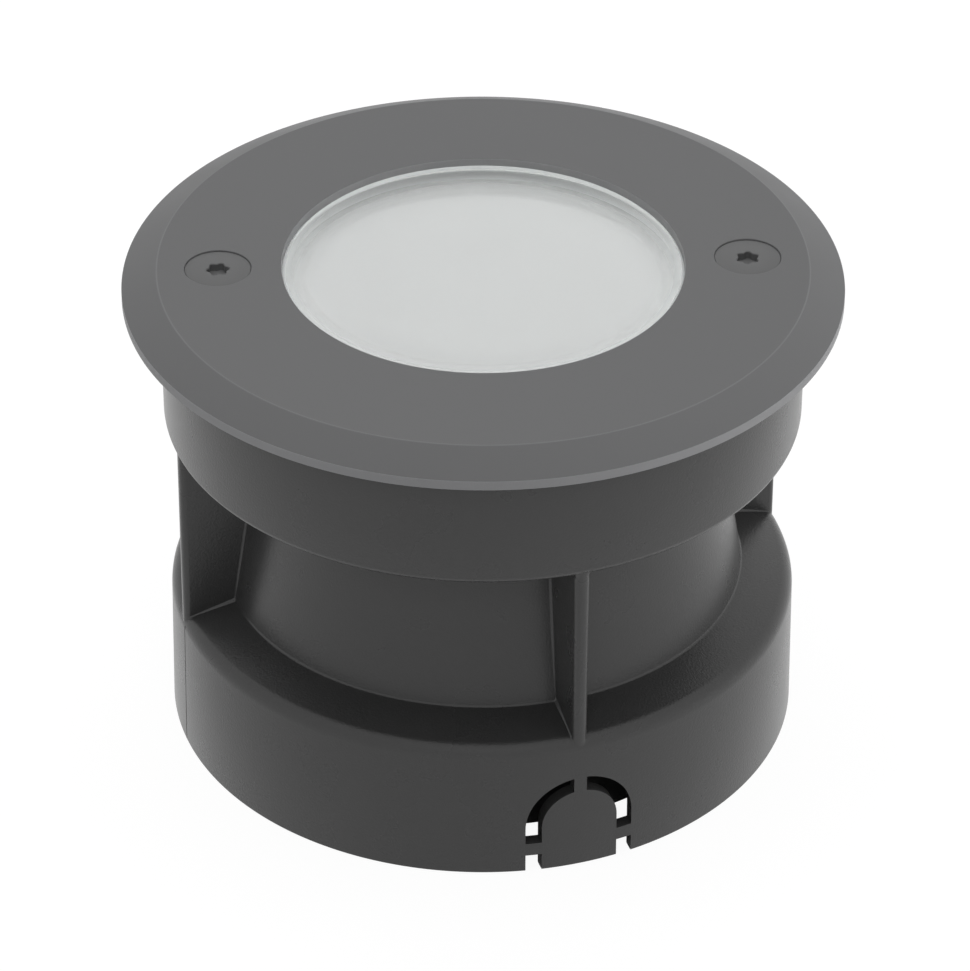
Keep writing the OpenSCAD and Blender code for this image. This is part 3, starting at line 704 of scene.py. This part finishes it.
def cover_screw(name, x, turn):
    """The thread's radius is the shank's less a triangle wave of height over pitch less angle. The recess's
    radius is the drive's times its share in the profile, with a cosine wave for each lobe."""
    a = np.linspace(0, 2 * math.pi, screw_angles, endpoint=False)[:, None]
    tip = shank_radius - thread_depth
    rows = int((thread_top - screw_foot) / thread_pitch * levels_per_turn)
    z = np.linspace(screw_foot, thread_top, rows)[None]
    wave = np.abs((z / thread_pitch - a / (2 * math.pi)) % 1 * 2 - 1)
    start = np.clip((z - screw_foot) / thread_pitch, 0, 1)
    end = np.clip((thread_top - z) / thread_pitch, 0, 1)
    crest = shank_radius - thread_depth * np.clip(thread_slope * wave - thread_crest, 0, 1) * end
    thread_r = np.minimum(crest, tip + thread_depth * start)
    head_r = head_profile[None, :, 0] + 0 * a
    lobe = 1 - lobe_share + lobe_share * np.cos(lobe_count * (a - turn))
    drive_r = lobe * drive_radius * drive_profile[None, :, 0]
    r = np.concatenate([thread_r, head_r, drive_r], 1)
    levels = np.concatenate([z[0], head_profile[:, 1], head_top - drive_profile[:, 1]])[None]
    points = np.stack([x + r * np.cos(a), r * np.sin(a), levels + 0 * a], -1)
    return around_axis(name, points, x, hollow=False)


screw_grey = (0.15, 0.151, 0.152)
screw_steel = finish(
    "screw_steel", screw_grey, roughness=0.5, grain=0.15 * mm, depth=0.01 * mm, clouds=0.08, shine=0.16
)
drive_turns = (math.radians(8), math.radians(22))
for side, x, turn in zip(("left", "right"), screw_places, drive_turns):
    screw = cover_screw("cover_screw_" + side + "_turned", x, turn)
    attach(screw, "screw_" + side)
    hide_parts("cover_screw_" + side)
    dress(screw, screw_steel)


# Rubber seals
# Black silicone: an O-ring under each screw head, a flat gasket over the glass and one under the diffuser.
black_rubber = finish("black_rubber", (0.03, 0.03, 0.032), roughness=0.6, grain=0.3 * mm, depth=0.015 * mm)
for name in ("screw_seal_left", "screw_seal_right", "lens_gasket_top", "lens_gasket_seat"):
    dress(nodes[name], black_rubber)


# Glass lens
# Clear toughened glass, turned with a raised middle that fills the ring's opening. Its edge is ground pale,
# with a haze inside it. Light for the plate below passes straight through, as through a clean pane.
lens_low, lens_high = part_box("glass_lens")
lens_radius = lens_high.x
lens_foot = lens_low.z
lens_top = lens_high.z
lens_step = 75.3 * mm
lens_boss_radius = 30.63 * mm
polish = 0.3 * mm
rim_ground = 0.5 * mm
lens_outline = np.array(
    [
        (lens_radius - polish, lens_foot),
        (lens_radius, lens_foot + polish),
        (lens_radius, lens_step - polish),
        (lens_radius - polish, lens_step),
        (lens_boss_radius, lens_step),
        (lens_boss_radius, lens_top - rim_ground),
        (lens_boss_radius - rim_ground, lens_top),
    ]
)
lens = turned("glass_lens_polished", lens_outline, hollow=False)
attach(lens, "luminaire")
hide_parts("glass_lens")

glass_tint = (0.97, 0.982, 0.977, 1)
pane_tint = (0.985, 0.992, 0.99, 1)
ground_white = (0.93, 0.96, 0.955, 1)
rim_start = lens_boss_radius - rim_ground
haze_start = 27 * mm
haze_share = 0.4
clear_glass = bpy.data.materials.new("clear_glass")
clear_glass.use_nodes = True
tree = clear_glass.node_tree
glass = tree.nodes["Principled BSDF"]
glass.inputs["Base Color"].default_value = glass_tint
glass.inputs["Roughness"].default_value = 0.02
glass.inputs["IOR"].default_value = 1.5
glass.inputs["Transmission Weight"].default_value = 1
ground = tree.nodes.new("ShaderNodeBsdfPrincipled")
ground.inputs["Base Color"].default_value = ground_white
ground.inputs["Roughness"].default_value = 0.6
open_path = tree.nodes.new("ShaderNodeBsdfTransparent")
open_path.inputs["Color"].default_value = pane_tint
reach = axis_distance(tree)
haze = tree.nodes.new("ShaderNodeMapRange")
haze.inputs["From Min"].default_value = haze_start
haze.inputs["From Max"].default_value = rim_start
haze.inputs["To Max"].default_value = haze_share
tree.links.new(reach, haze.inputs["Value"])
at_rim = calc(tree, "GREATER_THAN", reach, rim_start)
matt_share = calc(tree, "MAXIMUM", haze.outputs["Result"], at_rim)
seen_glass = mixed(tree, matt_share, glass.outputs[0], ground.outputs[0])
path = tree.nodes.new("ShaderNodeLightPath")
passing = calc(tree, "MAXIMUM", path.outputs["Is Shadow Ray"], path.outputs["Is Diffuse Ray"])
whole_glass = mixed(tree, passing, seen_glass, open_path.outputs[0])
tree.links.new(whole_glass, tree.nodes["Material Output"].inputs["Surface"])
dress(lens, clear_glass)


# Opal diffuser
# Satin opal plate close under the glass, which hides the chips and glows evenly when the light is on.
# Light enters the plastic and scatters some millimetres inside before it comes out again.
scatter_depth = 5 * mm
opal_plastic = finish(
    "opal_plastic",
    (0.96, 0.95, 0.935),
    roughness=0.5,
    grain=0.5 * mm,
    depth=0.01 * mm,
    clouds=0.03,
    cloud_size=20 * mm,
)
shader = opal_plastic.node_tree.nodes["Principled BSDF"]
shader.inputs["Subsurface Weight"].default_value = 1
shader.inputs["Subsurface Radius"].default_value = (1, 1, 1)
shader.inputs["Subsurface Scale"].default_value = scatter_depth
dress(nodes["opal_diffuser"], opal_plastic)


# Lamp housing
# Cast aluminium cup with a flange and cooling fins, blasted and left bright.
cast_aluminium = finish(
    "cast_aluminium", (0.5, 0.51, 0.52), roughness=0.5, grain=0.4 * mm, depth=0.05 * mm, metallic=0.85
)
dress(nodes["lamp_housing"], cast_aluminium)


# Light engine
# White funnel, rolled aluminium plate, white board with yellow chips, and zinc-plated screws.
white_plastic = finish("white_plastic", (0.82, 0.82, 0.8), roughness=0.4, grain=0.4 * mm, depth=0.01 * mm)
dress(nodes["reflector"], white_plastic)
plate_aluminium = finish(
    "plate_aluminium", (0.62, 0.63, 0.64), roughness=0.35, grain=0.3 * mm, depth=0.01 * mm, metallic=1.0
)
dress(nodes["heat_plate"], plate_aluminium)
board_white = finish("board_white", (0.78, 0.78, 0.76), roughness=0.45, grain=0.3 * mm, depth=0.01 * mm)
dress(nodes["led_board"], board_white)
chip_phosphor = finish("chip_phosphor", (0.85, 0.7, 0.2), roughness=0.4, grain=0.2 * mm, depth=0.01 * mm)
dress(nodes["led_chips"], chip_phosphor)
small_steel = finish(
    "small_steel", (0.55, 0.55, 0.56), roughness=0.35, grain=0.2 * mm, depth=0.008 * mm, metallic=1.0
)
for name in ("plate_screws", "board_screws", "driver_screws", "terminal_screws", "earth_screw"):
    dress(nodes[name], small_steel)


# Driver, terminals and leads
# Potted driver case, grey terminal block, silicone-sleeved leads and a tinned earth tag inside the cup.
driver_plastic = finish("driver_plastic", (0.66, 0.65, 0.61), roughness=0.5, grain=0.4 * mm, depth=0.03 * mm)
dress(nodes["driver_case"], driver_plastic)
terminal_plastic = finish(
    "terminal_plastic", (0.3, 0.3, 0.3), roughness=0.35, grain=0.4 * mm, depth=0.02 * mm
)
dress(nodes["terminal_block"], terminal_plastic)
lead_sleeving = finish("lead_sleeving", (0.42, 0.06, 0.04), roughness=0.4, grain=0.3 * mm, depth=0.01 * mm)
for name in ("supply_leads", "led_leads"):
    dress(nodes[name], lead_sleeving)
tag_brass = finish(
    "tag_brass", (0.6, 0.57, 0.5), roughness=0.3, grain=0.2 * mm, depth=0.008 * mm, metallic=1.0
)
dress(nodes["earth_lug"], tag_brass)


# Cable gland
# Black moulded gland in the housing's floor: threaded body, washer, rubber bush, slip ring and domed nut.
gland_plastic = finish(
    "gland_plastic", (0.045, 0.046, 0.048), roughness=0.45, grain=0.3 * mm, depth=0.02 * mm
)
for name in ("gland_body", "gland_nut"):
    dress(nodes[name], gland_plastic)
for name in ("gland_washer", "gland_seal"):
    dress(nodes[name], black_rubber)
slip_plastic = finish("slip_plastic", (0.8, 0.8, 0.78), roughness=0.45, grain=0.3 * mm, depth=0.01 * mm)
dress(nodes["gland_slip_ring"], slip_plastic)
